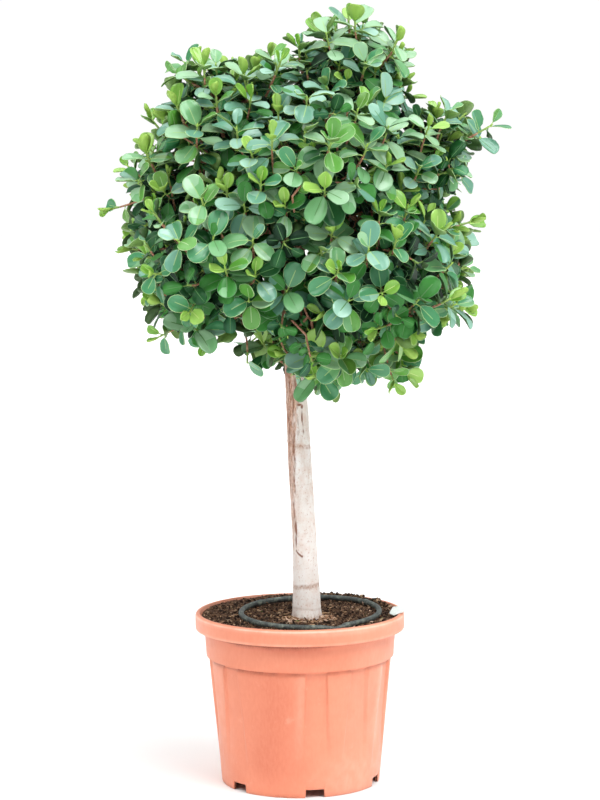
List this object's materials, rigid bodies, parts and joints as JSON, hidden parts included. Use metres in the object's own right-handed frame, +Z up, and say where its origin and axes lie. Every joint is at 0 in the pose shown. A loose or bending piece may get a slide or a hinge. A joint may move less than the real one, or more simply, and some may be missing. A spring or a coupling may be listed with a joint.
{
  "type": "standard lollipop topiary",
  "caption": "Small-leaved evergreen standard: a clear pale stem topped by a loosely clipped ball of rounded leaves, in a fluted round plastic pot with compost and a drip ring.",
  "frame": {"origin": "middle of the pot's footprint, on the ground", "axes": "+Z up along the pot's axis; -Y is the side the picture shows; +X is to the right in the picture"},
  "size_m": [0.7456, 0.7031, 1.3997],
  "materials": {
    "pot_plastic": "satin",
    "compost": "matte",
    "hose": "satin",
    "label": "satin",
    "bark": "matte",
    "twig_bark": "matte",
    "leaf": "satin"
  },
  "bodies": {
    "root": {"pot": "pot_plastic", "compost": "compost", "drip_ring": "hose", "label": "label", "stem": "bark", "mass_top": "leaf", "mass_upper_left": "leaf", "mass_upper_right": "leaf", "mass_front_high": "leaf", "mass_left": "leaf", "mass_right": "leaf", "mass_front_left": "leaf", "mass_front_right": "leaf", "mass_low_left": "leaf", "mass_low_front": "leaf", "mass_low_right": "leaf", "mass_back_high": "leaf", "mass_back_left": "leaf", "mass_back_right": "leaf", "mass_low_back": "leaf", "bough_top": "twig_bark", "bough_back_high": "twig_bark", "bough_upper_left": "twig_bark", "bough_right": "twig_bark", "bough_front_right": "twig_bark", "bough_back_left": "twig_bark", "bough_low_left": "twig_bark", "bough_low_front": "twig_bark", "bough_low_right": "twig_bark", "bough_low_back": "twig_bark", "bough_upper_right": "twig_bark", "bough_front_high": "twig_bark", "bough_left": "twig_bark", "bough_front_left": "twig_bark", "bough_back_right": "twig_bark"}
  },
  "joints": []
}
